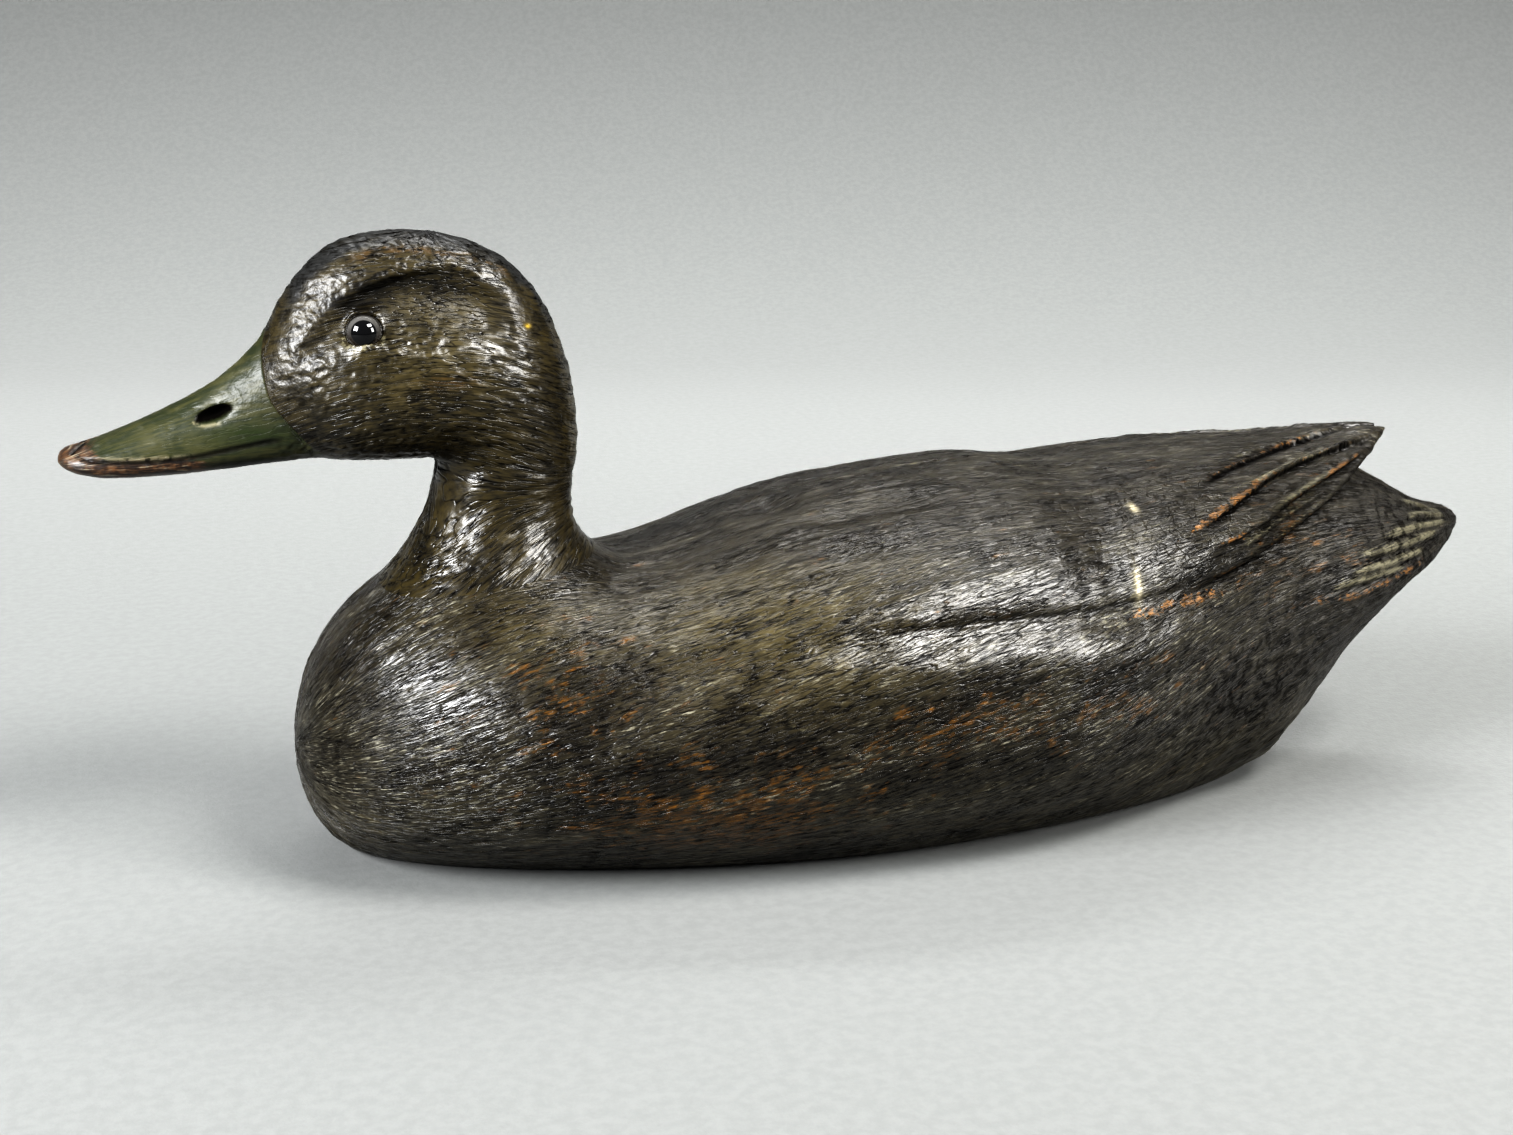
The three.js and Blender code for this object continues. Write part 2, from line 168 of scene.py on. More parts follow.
class Skin:
    """A piece's surface in millimetres, both sides folded onto the near one: a cut there is made twice."""

    def __init__(self, piece):
        self.places = read_places(piece) / mm
        self.normals = read_places(piece, "normal")
        side = np.where(self.places[:, 1:2] > 0, -1, 1)
        fold = np.hstack([np.ones_like(side), side, np.ones_like(side)])
        self.near = self.places * fold
        self.near_normals = self.normals * fold
        self.tree = BVHTree.FromPolygons(
            self.places.tolist(), [tuple(face.vertices) for face in piece.data.polygons]
        )

    def line(self, *points, step=1.5):
        """A smooth line through given points, laid down onto the surface."""
        points = np.array(points, float)
        padded = np.vstack([2 * points[0] - points[1], points, 2 * points[-1] - points[-2]])
        path = []
        for a, b, c, d in zip(padded, padded[1:], padded[2:], padded[3:]):
            count = max(2, round(np.linalg.norm(c - b) / step))
            for t in np.arange(count) / count:
                bend = (2 * a - 5 * b + 4 * c - d) * t * t + (3 * b - a - 3 * c + d) * t**3
                path.append(0.5 * (2 * b + (c - a) * t + bend))
        path.append(points[-1])
        return np.array([self.tree.find_nearest(Vector(place))[0] for place in path])

    def measure(self, line, reach=9):
        """For the places near a line: their numbers, how far above it they lie and how far along."""
        low, high = line.min(axis=0) - reach, line.max(axis=0) + reach
        chosen = np.flatnonzero(((self.near > low) & (self.near < high)).all(axis=1))
        places, normals = self.near[chosen], self.near_normals[chosen]
        best = np.full(len(chosen), np.inf)
        above = np.zeros(len(chosen))
        along = np.zeros(len(chosen))
        for i, (start, end) in enumerate(zip(line, line[1:])):
            run = end - start
            length = np.linalg.norm(run)
            share = np.clip((places - start) @ run / length**2, 0, 1)
            offset = places - start - share[:, None] * run
            far = np.linalg.norm(offset, axis=1)
            side = np.sign(np.einsum("ij,ij->i", np.cross(run, offset), normals))
            closer = far < best
            best[closer] = far[closer]
            above[closer] = (far * side)[closer]
            along[closer] = (i + share[closer]) / (len(line) - 1)
        kept = best < reach
        return chosen[kept], above[kept], along[kept]


def taper(along, start=0.12, end=0.12):
    return ramp(0, start, along) * ramp(0, end, 1 - along)


# Where the wood grain and the rasp's tracks run: along the body, and round it in half-planes
# that open from a line through its middle. Both in millimetres on the skin.
breast_turn = -100.0
breast_reach = 62.0
wrap = 55.0
middle_line = ([-162, -100, 0, 70, 119, 172, 221], [36, 46, 52, 56, 63, 68, 77])
track_climb = 0.16
climb_start = -60


def body_flow(places):
    x, y, z = places.T
    middle = np.interp(x, *middle_line)
    fore = np.clip((breast_turn - x) / breast_reach, 0, 0.999)
    length = np.where(x < breast_turn, breast_turn - breast_reach * np.arcsin(fore), x)
    side = wrap * np.arctan2(np.abs(y), z - middle)
    climb = track_climb * (length - climb_start) * ramp(15, 60, side)
    return length, (side + climb) * np.where(y > 0, 1.0, -1.0)


def waves(length, across, long, wide, seed):
    """Smooth uneven waves, drawn out along the flow, between about -1 and 1."""
    cells = np.column_stack([length / long, across / wide, np.full(len(length), seed)])
    return np.array([noise.noise(cell) for cell in cells.tolist()])


def strokes(length, across, long, wide, seed):
    """Raised strokes side by side: 0 along their middles, up to about 1 in the sharp cuts between them."""
    bend = 0.5 * waves(length, across, 1.6 * long, 3 * wide, seed + 1)
    cells = np.column_stack([length / long, across / wide + bend, np.full(len(length), seed)])
    far = [noise.voronoi(cell, distance_metric="DISTANCE_SQUARED")[0][0] for cell in cells.tolist()]
    return np.array(far)


body = blank("carved_body", grain=0.85 * mm, passes=50, most=0.7 * mm, spare=12 * mm, keep_above=False)
skin = Skin(body)

# The lines that the knife followed, as places on the near side in millimetres.
feather_edges = [
    skin.line((98, -40, 102.2), (123.2, -24.5, 106.4), (154.2, -8.8, 109.4), (180, -1.5, 111)),
    skin.line(
        (92, -55, 91.8), (113.5, -43.6, 98.4), (134.7, -28.8, 103.1), (155.4, -17.6, 106.5),
        (185.7, -7, 110.2),
    ),
    skin.line(
        (98, -55, 87.5), (115.5, -47.6, 90.3), (137.9, -34.4, 95.4), (150.9, -26.3, 98.8),
        (178, -11.5, 106.5),
    ),
    skin.line(
        (96, -54, 78.5), (109.7, -48.7, 80.6), (129.2, -39.7, 85.3), (153.2, -26.8, 92.7),
        (176, -13.5, 103),
    ),
]
feather_shafts = [
    skin.line((112, -27, 105.6), (140, -13, 108.6), (170, -3.5, 111)),
    skin.line((104, -41, 101), (128.7, -31, 103.6), (147.8, -21.1, 106.1), (178, -8, 110.4)),
    skin.line((116, -45.2, 94.4), (137.6, -34.1, 97.8), (157, -23.9, 101.7), (178, -12.4, 106.9)),
    skin.line((104, -52.5, 85.5), (118, -46.5, 88.6), (134.6, -37, 93.1), (156, -25, 97.2)),
]
flank_groove = skin.line(
    (-16, -70.5, 75.6), (26.2, -70.3, 77.3), (58, -66.5, 76.8), (86, -60, 78.4), (102.2, -55.2, 82),
)
worn_ridge = skin.line((59.6, -69.1, 73.4), (85.5, -60.5, 74.9), (117.5, -48.9, 75.4))
scapular_line = skin.line((-9.8, -9.7, 102.3), (19.5, -11.1, 106), (53.9, -5.6, 106.8), (74, -4, 106))
covert_line = skin.line((70, 0, 105.9), (82.8, -15.2, 106.1), (91, -30, 104))
crack = skin.line(
    (91.1, -20.9, 106.2), (80, -32.1, 103.2), (70, -36.7, 100.9), (58.2, -43.3, 99.8),
    (46.1, -48.3, 98.5),
)
joint = skin.line(
    (91, -30, 104), (81.8, -41.1, 100.5), (79, -47.2, 97.5), (75, -58.5, 88.6), (74.4, -63.1, 77.1),
)
flank_fold = skin.line((-52.1, -70.7, 64.5), (-34, -77, 55), (-18, -78.5, 45), (-8, -76, 35))
tail_lip = skin.line(
    (141, -41.7, 66), (161.4, -36.2, 65.2), (171.8, -33.2, 67.2), (183.4, -28.6, 69.3), (198, -20, 72.5),
)
tail_ribs = [
    skin.line((188, -14.5, 88.8), (200, -7.7, 85.3), (212, -4.5, 81.6)),
    skin.line((187.4, -20.6, 85.1), (197.6, -12.8, 84), (213, -5.4, 80.4)),
    skin.line((171.1, -30.2, 81.4), (191.5, -19.8, 81.4), (214, -5.6, 79.4)),
    skin.line((159.4, -34.8, 77.2), (182, -26.9, 77.8), (208, -12, 78.3)),
    skin.line((157, -36.6, 72.4), (178.7, -29.8, 73.6), (197, -20.5, 75)),
    skin.line((148.9, -39.2, 68.9), (167.3, -34.3, 70.4), (186, -27, 71.2)),
]
tail_gaps = [
    skin.line((190, -17.5, 86.6), (206.1, -5.4, 83.8), (214, -4.2, 80.6)),
    skin.line((183, -23.3, 83.4), (194.7, -17.4, 83.3), (214, -5.6, 80)),
    skin.line((163.9, -32.9, 79.3), (193, -20.5, 80.1), (212, -8, 78.9)),
    skin.line((159.2, -35.7, 74.2), (186.2, -26.2, 75.7), (206, -14.5, 76.6)),
    skin.line((157, -36.9, 70.5), (178.7, -30, 71.7), (193, -23, 73)),
    skin.line((151, -38.7, 67.3), (169.5, -33.9, 68.2), (184, -28, 70.2)),
]


def groove(skin, cut, lines, depth, width, start=0.12, end=0.12):
    """Cuts a rounded groove along each line, or leaves a ridge there where the depth is negative."""
    for line in lines:
        chosen, above, along = skin.measure(line)
        cut[chosen] -= depth * np.exp(-((above / width) ** 2)) * taper(along, start, end)


# Each feather's edge stands proud of what is under it, and each shaft between two shallow hollows.
feather_lift = 0.7
lift_reach = 2.4
feather_sinks = (1.3, 2.2, 2.2, 2.2)
sink_reach = 1.4
edge_wander = 0.35
shaft_height = 0.4
shaft_width = 0.7
hollow_depth = 0.6
hollow_width = 0.9
hollow_place = 1.6


def body_cuts(skin):
    """How far the knife and rasp raise or lower each place of the body."""
    length, across = body_flow(skin.places)
    cut = 0.34 * waves(length, across, long=17, wide=4.6, seed=3)
    cut += 0.3 * waves(length, across, long=7, wide=2.0, seed=9)
    cut -= 0.3 * (strokes(length, across, long=10, wide=2.5, seed=11) - 0.3)
    cut *= ramp(1, 6, skin.places[:, 2])
    for i, (edge, depth) in enumerate(zip(feather_edges, feather_sinks)):
        chosen, above, along = skin.measure(edge)
        above = above + edge_wander * waves(60 * along, 0 * along, long=6, wide=1, seed=i)
        upper = 0.5 + 0.5 * np.tanh(above / 0.5)
        lift = upper * feather_lift * np.exp(-np.abs(above) / lift_reach)
        sink = (1 - upper) * depth * np.exp(-np.abs(above) / sink_reach)
        cut[chosen] += (lift - sink) * taper(along, 0.3, 0.1)
    for shaft in feather_shafts:
        chosen, above, along = skin.measure(shaft)
        ridge = shaft_height * np.exp(-((above / shaft_width) ** 2))
        sides = hollow_depth * np.exp(-(((np.abs(above) - hollow_place) / hollow_width) ** 2))
        cut[chosen] += (ridge - sides) * taper(along, 0.3)
    groove(skin, cut, [flank_groove], depth=0.7, width=1.0, start=0.25)
    groove(skin, cut, [scapular_line], depth=0.3, width=1.0, start=0.25)
    groove(skin, cut, [covert_line], depth=0.35, width=0.9, start=0.25)
    groove(skin, cut, [crack], depth=0.55, width=0.7, start=0.25)
    groove(skin, cut, [joint], depth=0.3, width=0.6, start=0.25)
    groove(skin, cut, [flank_fold], depth=-0.4, width=1.6, start=0.25)
    groove(skin, cut, tail_ribs, depth=-0.6, width=1.0, start=0.25, end=0.2)
    groove(skin, cut, tail_gaps, depth=0.7, width=1.1, start=0.25, end=0.2)
    groove(skin, cut, [tail_lip], depth=-0.5, width=1.8)
    return cut


def carve(piece, skin, cut, most, keep_above):
    """Moves the skin by its cuts, thins the triangles that the carving can spare, and saws off the end."""
    at_neck = skin.places[:, 0] < seat_end / mm
    cut = np.where(at_neck, cut * ramp(*seam_fade, np.abs(above_seat(skin.places))), cut)
    write_places(piece, (skin.places + skin.normals * cut[:, None]) * mm)
    faces = sum(len(face.vertices) - 2 for face in piece.data.polygons)
    if faces > most:
        thin = piece.modifiers.new("thin", "DECIMATE")
        thin.ratio = most / faces
        settle(piece)
    piece.data.shade_smooth()
    work = bmesh.new()
    work.from_mesh(piece.data)
    cut_off(work, 0, keep_above)
    work.to_mesh(piece.data)
    work.free()


def store(piece, name, values, kind="FLOAT"):
    layer = piece.data.attributes.new(name, kind, "POINT")
    layer.data.foreach_set("value" if kind == "FLOAT" else "vector", np.ravel(values).astype(np.float32))


def spot(skin, place, size):
    """A soft patch about a place on the near side, and about its like on the far side."""
    away = (skin.near - np.array(place)) / np.array(size)
    return np.exp(-(away**2).sum(axis=1))


def marked(skin, lines, width, shift=0.0, span=(0.0, 1.0), fade=0.12):
    """A soft band along a part of each of the lines."""
    mask = np.zeros(len(skin.places))
    for line in lines:
        chosen, above, along = skin.measure(line)
        band = np.exp(-(((above - shift) / width) ** 2))
        band *= ramp(span[0], span[0] + fade, along) * ramp(span[1], span[1] - fade, along)
        mask[chosen] = np.maximum(mask[chosen], band)
    return mask


most_faces = 196000
carve(body, skin, body_cuts(skin), most_faces, keep_above=False)
skin = Skin(body)
length, across = body_flow(skin.places)
store(body, "flow", np.column_stack([length, across, 0 * length]), "FLOAT_VECTOR")

# Where each paint, each kind of wear and the painted shade in the cuts lie: bands along the carved
# lines and soft patches.
height = skin.near[:, 2]
masks = {
    "worn_edge": 0.7 * marked(skin, feather_edges[:1], 0.7, 0.5, (0.12, 0.8))
    + marked(skin, feather_edges[1:2], 1.3, 1.3, (0.0, 0.52))
    + 0.6 * marked(skin, feather_edges[1:2], 0.6, 0.5, (0.4, 1.0))
    + marked(skin, feather_edges[2:3], 0.9, 0.7, (0.42, 1.0))
    + 0.9 * marked(skin, feather_edges[2:3], 1.0, 0.8, (0.03, 0.3))
    + 0.8 * marked(skin, feather_edges[3:], 0.6, 0.4, (0.05, 0.65))
    + 0.8 * marked(skin, feather_edges[3:], 1.3, 1.3, (0, 0.24))
    + 0.85 * marked(skin, [tail_lip], 1.3, 0, (0.03, 0.98))
    + 0.85 * marked(skin, [worn_ridge], 1.8, 0, (0, 1), 0.4),
    # Painted shade: black under feather edges, beside shafts, in the tail's gaps, flank groove and crack.
    "painted_cut_shade": marked(skin, feather_edges, 0.7, -0.9, (0.02, 1.0), 0.2)
    + 0.5 * marked(skin, tail_gaps, 0.6, 0, (0, 1), 0.3)
    + 0.9 * marked(skin, [flank_groove], 0.8, 0, (0.2, 0.95), 0.3)
    + 0.9 * marked(skin, [crack], 0.4)
    + 0.5 * marked(skin, feather_shafts, 0.4, -1.7, (0.1, 0.95), 0.25),
    "pale_line": marked(skin, tail_ribs, 1.4, 0, (0, 1), 0.2)
    + 0.7 * marked(skin, feather_shafts, 0.8, 0, (0, 1), 0.3)
    + 0.5 * marked(skin, [scapular_line, covert_line], 0.5)
    + 0.45 * marked(skin, feather_edges[1:], 0.6, 2.0, (0.1, 1.0), 0.3)
    + 0.35 * marked(skin, [flank_fold], 1.2, 0, (0, 0.8), 0.3),
    "olive": 0.8 * spot(skin, (-48, -60, 82), (48, 30, 14))
    + 0.6 * spot(skin, (-100, -50, 84), (14, 20, 14))
    + 0.5 * spot(skin, (-25, -74, 70), (30, 20, 16))
    + 0.6 * ramp(40, 12, height),
    "orange": spot(skin, (-50, -62, 26), (42, 40, 15))
    + 0.5 * spot(skin, (40, -72, 50), (70, 30, 12))
    + 0.4 * spot(skin, (-95, -60, 65), (26, 20, 20))
    + 0.4 * spot(skin, (130, -35, 80), (40, 20, 20)),
    "dusty": 0.5
    + 0.3 * spot(skin, (85, -60, 45), (50, 40, 30))
    - 0.5 * spot(skin, (160, -40, 70), (40, 30, 30))
    + 0.5 * spot(skin, (-140, -45, 35), (40, 60, 22))
    + 0.4 * ramp(14, 4, height)
    - 0.5 * spot(skin, (-20, -40, 98), (60, 30, 14)),
    "wrinkled": spot(skin, (88, -42, 99), (26, 18, 14)),
    "matt": spot(skin, (185, -25, 80), (30, 30, 26)) + spot(skin, (125, -50, 40), (50, 30, 26)),
    "cream": spot(skin, (81.5, -42, 100), (0.9, 2.2, 3)) + spot(skin, (74.4, -61.5, 82.5), (0.9, 3, 5)),
}
for name, values in masks.items():
    store(body, name, np.clip(values, -1, 1))


class Shade:
    """An output of a shader node. Sums and products of shades add their own nodes to the material."""

    def __init__(self, tree, socket=None):
        self.tree = tree
        self.socket = socket

    def node(self, kind, settings=None, inputs=None, output=0):
        """Adds a node: its settings first, then the values or links of its sockets."""
        node = self.tree.nodes.new("ShaderNode" + kind)
        for name, value in (settings or {}).items():
            setattr(node, name, value)
        for name, value in (inputs or {}).items():
            if isinstance(value, Shade):
                self.tree.links.new(value.socket, node.inputs[name])
            else:
                node.inputs[name].default_value = value
        return Shade(self.tree, node.outputs[output] if node.outputs else None)

    def math(self, operation, *values):
        return self.node("Math", {"operation": operation}, dict(enumerate(values)))

    def __add__(self, other):
        return self.math("ADD", self, other)

    def __radd__(self, other):
        return self.math("ADD", other, self)

    def __sub__(self, other):
        return self.math("SUBTRACT", self, other)

    def __rsub__(self, other):
        return self.math("SUBTRACT", other, self)

    def __mul__(self, other):
        return self.math("MULTIPLY", self, other)

    def __rmul__(self, other):
        return self.math("MULTIPLY", other, self)

    def clamp(self):
        return self.node("Clamp", None, {0: self})

    def step(self, low, high):
        """0 up to the low value, 1 from the high one, and a soft step between them."""
        limits = {"Value": self, "From Min": low, "From Max": high}
        return self.node("MapRange", {"interpolation_type": "SMOOTHSTEP"}, limits)

    def over(self, under, colour):
        """The colour laid over another one, as thick as this value."""
        return self.node("Mix", {"data_type": "RGBA"}, {0: self, 6: under, 7: colour}, 2)

    def cells(self, along, across, shift=0.0):
        scale = (1 / along, 1 / across, 1 / across)
        place = {"Vector": self, "Scale": scale, "Location": (shift, shift, shift)}
        return self.node("Mapping", None, place)

    def stretched(self, along, across, shift=0.0, detail=2.0):
        """Noise on this vector, in flecks of about this length and width."""
        cells = self.cells(along, across, shift)
        fine = {"Vector": cells, "Scale": 1.0, "Detail": detail, "Roughness": 0.6}
        return self.node("TexNoise", None, fine)

    def creases(self, along, across, shift=0.0):
        """Thin wavy cracks along this vector: 1 in a crack and 0 off it."""
        wave = self.stretched(along, across, shift, 1.0) - 0.5
        return wave.math("ABSOLUTE", wave).step(0.04, 0.0)


def attribute(shade, name, output="Fac"):
    return shade.node("Attribute", {"attribute_name": name}, None, output)


def paint(red, green, blue):
    """A paint's colour, given as it looks on a screen."""
    return (*(((value / 255 + 0.055) / 1.055) ** 2.4 for value in (red, green, blue)), 1)


def begin(name):
    material = bpy.data.materials.new(name)
    material.use_nodes = True
    material.node_tree.nodes.clear()
    return material, Shade(material.node_tree)


def coat_with(material, shade, colour, roughness, height, crevice):
    """Ends a material: paint with this colour, roughness and relief, soot and painted shade in crevices.
    """
    relief = shade.node("Bump", None, {"Height": height, "Distance": relief_depth, "Strength": 1.0})
    finish = {"Base Color": colour, "Roughness": roughness, "Normal": relief, "Specular IOR Level": shine}
    glossy = shade.node("BsdfPrincipled", None, finish)
    # The crevices' finish is dull near black: soot, and painted shade standing in for their shadow.
    matt_soot_and_shade = {"Base Color": soot_and_shade, "Roughness": soot_and_shade_roughness, "Specular IOR Level": 0.0}
    dull = shade.node("BsdfPrincipled", None, matt_soot_and_shade)
    surface = shade.node("MixShader", None, {0: crevice, 1: glossy, 2: dull})
    shade.node("OutputMaterial", None, {"Surface": surface})
    return material


relief_depth = 0.45 * mm
shine = 0.35
soot_and_shade_roughness = 0.9
# Near black: soot in the cuts, and painted shade in crevices, nostrils, under the brow and the bill.
soot_and_shade = paint(5, 4, 3)
black_brown = paint(13, 10, 5)
grey_brown = paint(34, 30, 19)
olive_dark = paint(28, 24, 11)
olive_pale = paint(56, 49, 28)
haze = paint(45, 41, 33)
rust = paint(58, 38, 8)
bright_rust = paint(92, 60, 14)
bone = paint(102, 99, 86)
sage = paint(90, 86, 68)
cream = paint(150, 142, 118)


def body_paint():
    """Brown and olive strokes, soot and painted shade in hollows, worn to rust, bone and sage as masked.
    """
    material, shade = begin("worn black duck paint")
    flow = attribute(shade, "flow", "Vector")
    spread = shade.node("TexCoord", None, None, "Object")
    fine = flow.stretched(3.4, 0.5, 51, 3)
    middling = flow.stretched(6.5, 1.1, 61, 3)
    broad = flow.stretched(16.0, 3.4, 4, 2)
    creases = flow.creases(14.0, 1.6, 7)
    fine_creases = flow.creases(7.0, 0.8, 3)
    streaks = flow.stretched(5.0, 0.9, 41, 3)
    dashes = flow.stretched(4.6, 0.7, 17, 3)
    clouds = flow.stretched(34.0, 14.0, 23, 3)
    clumps = flow.stretched(13.0, 6.0, 29, 3)
    flakes = spread.stretched(3.0 * mm, 3.0 * mm, 5, 4)
    grain = spread.stretched(1.4 * mm, 1.0 * mm, 8, 3)
    olive = attribute(shade, "olive")
    orange = attribute(shade, "orange")
    painted_cut_shade = attribute(shade, "painted_cut_shade")
    tone = (0.34 * fine + 0.33 * middling + 0.33 * clouds).step(0.41, 0.62)
    colour = tone.over(olive.over(black_brown, olive_dark), olive.over(grey_brown, olive_pale))
    colour = (0.6 * (0.6 * clumps + 0.4 * fine).step(0.54, 0.70)).over(colour, haze)
    # Painted shade: the colour goes to near black in the creases and the low parts of the relief.
    deep = 0.85 * creases + 0.6 * fine_creases + 2.0 * (0.44 - broad)
    colour = (0.85 * deep.clamp()).over(colour, soot_and_shade)
    rusty = (orange + 2.6 * (clumps - 0.5) + 1.0 * (flakes - 0.5)).step(0.3, 0.7)
    rusty = rusty * (streaks + 0.07 * orange).step(0.51, 0.60)
    colour = (0.9 * rusty).over(colour, dashes.step(0.48, 0.72).over(rust, bright_rust))
    dusty = (attribute(shade, "dusty") + 2.4 * (clouds - 0.5) + 1.0 * (flakes - 0.5)).step(0.45, 0.95)
    colour = (0.75 * dusty * dashes.step(0.55, 0.66)).over(colour, bone)
    rib = (attribute(shade, "pale_line") + 1.0 * (grain - 0.5) + 2.2 * (streaks - 0.5)).step(0.3, 0.95)
    colour = (0.75 * rib).over(colour, sage)
    rubbed = attribute(shade, "worn_edge")
    edge = rubbed.step(0.1, 0.4) * (rubbed + 2.6 * (flakes - 0.5) + 2.6 * (grain - 0.5)).step(0.55, 0.85)
    edge = edge * (0.25 + 0.75 * streaks.step(0.42, 0.54))
    colour = edge.over(colour, (flakes + 0.8 * fine).step(0.82, 1.05).over(rust, bright_rust))
    # Painted shade: the cuts are painted black.
    colour = painted_cut_shade.over(colour, soot_and_shade)
    colour = attribute(shade, "cream").over(colour, cream)
    wrinkles = attribute(shade, "wrinkled") * (spread.creases(5.0 * mm, 5.0 * mm, 2) - flakes)
    matt = attribute(shade, "matt").clamp()
    # Painted shade: crevices, pits in the matt patches and the cuts take the dull near black finish.
    crevice = 0.6 * creases + 0.6 * fine_creases + (0.65 * fine + 0.35 * middling).step(0.47, 0.38)
    crevice = crevice * (0.45 + 0.55 * clouds.step(0.6, 0.4)) * (1 - 0.7 * rusty)
    crevice = crevice * (1 - rib) * (1 - edge) + 0.7 * matt * flakes.step(0.52, 0.40)
    crevice = (0.85 * crevice.clamp() + 0.85 * painted_cut_shade).clamp()
    height = 0.25 * fine + 0.6 * middling + 0.6 * broad - 0.3 * creases - 0.15 * fine_creases
    height = height - 0.7 * wrinkles
    roughness = 0.29 + 0.3 * (clouds - 0.5) + 0.2 * edge + 0.3 * matt
    return coat_with(material, shade, colour, roughness, height, crevice)


body.data.materials.append(body_paint())
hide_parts("body")
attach(body, "root")

# The head, neck and bill are a second piece of wood, glued onto the body's seat. It is rasped and
# painted as the body is, with a dished channel for each eye, a step where the bill starts, two
# nostrils, and a nail at the bill's tip.
head = blank("carved_head", grain=0.5 * mm, passes=100, most=0.5 * mm, spare=12 * mm, keep_above=True)
skin = Skin(head)
bill_edge = skin.line(
    (-162, -1, 156), (-164, -7, 151), (-164, -11, 145), (-163, -13, 139), (-160, -14, 134),
    (-157, -15, 129), (-153, -14, 123),
)
mouth = skin.line(
    (-216.2, -7.2, 125.2), (-209.5, -11, 124.2), (-200.5, -12.1, 123.4), (-191.9, -11.7, 123.3),
    (-182.6, -11.6, 124.1), (-173.3, -11.7, 125.8), (-165.2, -12, 127.1), (-158.5, -12.7, 128),
)
nail = skin.line((-216.2, -7.2, 125.7), (-215.4, -5.1, 126.6), (-213.8, -2.8, 127.4), (-212.3, 0, 128))
brow = skin.line(
    (-150, -15, 162), (-141, -17.5, 167), (-127, -18, 170.5), (-113, -17, 169.5), (-102, -17, 165.5),
)
channel_end = skin.line((-99, -18, 163), (-98, -21.5, 156), (-102, -24.5, 150), (-109, -26, 145.5))
nostril_rim = skin.line((-184.5, -8.7, 133.2), (-181, -9.8, 132.2), (-176, -10.6, 133.2))
jaw = skin.line((-152, -15, 124), (-140, -15.5, 122.6), (-129.1, -15.2, 122), (-118, -16.5, 122.2))

# What the tracks run round, as places seen from the side, and how they climb the neck.
bill_start = ([123, 129, 134, 139, 145, 151, 156], [-153, -157, -160, -163, -164, -164, -162])
arc_middle = (-122, 55)
bill_point = (-225, 122)
bill_wrap = 45
neck_middle = -118
neck_wrap = 26
neck_climb = 0.6
neck_level = 110.8


def head_flow(places):
    """The tracks run in flat arcs over the eye and down behind it, climb steeply round the neck's foot,
    and run together towards a point ahead of the bill's tip."""
    x, y, z = places.T
    arcs = np.hypot(x - arc_middle[0], z - arc_middle[1])
    climb = z - neck_climb * x - neck_level
    across = climb + (arcs - climb) * ramp(96, 122, z)
    on_bill = x < np.interp(z, *bill_start)
    ahead, over = x - bill_point[0], z - bill_point[1]
    length = np.where(on_bill, np.hypot(ahead, over), neck_wrap * np.arctan2(y, -(x - neck_middle)))
    return length, np.where(on_bill, bill_wrap * np.arctan2(over, ahead), across)


brow_place = -114
brow_height = 175.3
brow_bend = 0.0102
dish_width = 13
dish_depth = 2.4
dish_front = (-154, 154)
front_slant = 0.85
dish_rear = (-97.5, 160)
rear_bend = 0.045


def eye_dish(places):
    """The dished channel that runs back from the eye under the brow: 0 at its rim and 1 at its deepest.
    It widens behind the eye and ends in a round rear edge."""
    x, y, z = places.T
    down = brow_height - brow_bend * (x - brow_place) ** 2 - z
    lowest = dish_width + dish_width * ramp(-140, -122, x)
    from_front = x - dish_front[0] - front_slant * np.maximum(z - dish_front[1], 0)
    from_rear = x - dish_rear[0] + rear_bend * (z - dish_rear[1]) ** 2
    between = ramp(0, 3.6, down) * ramp(lowest, 0.3 * lowest, down)
    return between * ramp(-2, 5, from_front) * ramp(2, -7, from_rear)


def head_cuts(skin):
    """How far the knife and rasp raise or lower each place of the head."""
    length, across = head_flow(skin.places)
    is_bill = ramp(-156, -166, skin.places[:, 0])
    x, y, z = skin.near.T
    rasped = 0.1 + 0.9 * np.maximum(ramp(-128, -112, x), ramp(124, 116, z))
    cut = -0.35 * rasped * (strokes(length, across, long=6, wide=2.4, seed=5) - 0.3)
    cut += 0.3 * waves(length, across, long=12, wide=4, seed=7)
    cut += 0.4 * rasped * waves(length, across, long=4.5, wide=2.2, seed=12)
    cut += 0.36 * (1 - 0.7 * rasped) * waves(x + 0.3 * y, z, long=1.5, wide=1.5, seed=8)
    dish = eye_dish(skin.places)
    cut *= (1 - 0.7 * is_bill) * (1 - 0.85 * dish)
    cut -= dish_depth * dish * ramp(8, 15, np.abs(skin.places[:, 1]))
    chosen, above, along = skin.measure(bill_edge)
    upper = 0.5 + 0.5 * np.tanh(above / 0.35)
    step = 0.35 * upper * np.exp(-np.abs(above) / 2.5) - 0.55 * (1 - upper) * np.exp(-np.abs(above) / 1.2)
    cut[chosen] += step * taper(along, 0.05, 0.1)
    groove(skin, cut, [mouth], depth=0.5, width=0.6, start=0.1)
    groove(skin, cut, [nail], depth=0.45, width=0.6, start=0.1)
    groove(skin, cut, [channel_end], depth=0.25, width=1.5, start=0.1)
    groove(skin, cut, [jaw], depth=0.2, width=1.2, start=0.1)
    chosen, above, along = skin.measure(brow)
    cut[chosen] += 0.3 * np.tanh(above / 1.2) * np.exp(-np.abs(above) / 3) * taper(along, 0.3)
    return cut


carve(head, skin, head_cuts(skin), most_faces, keep_above=True)

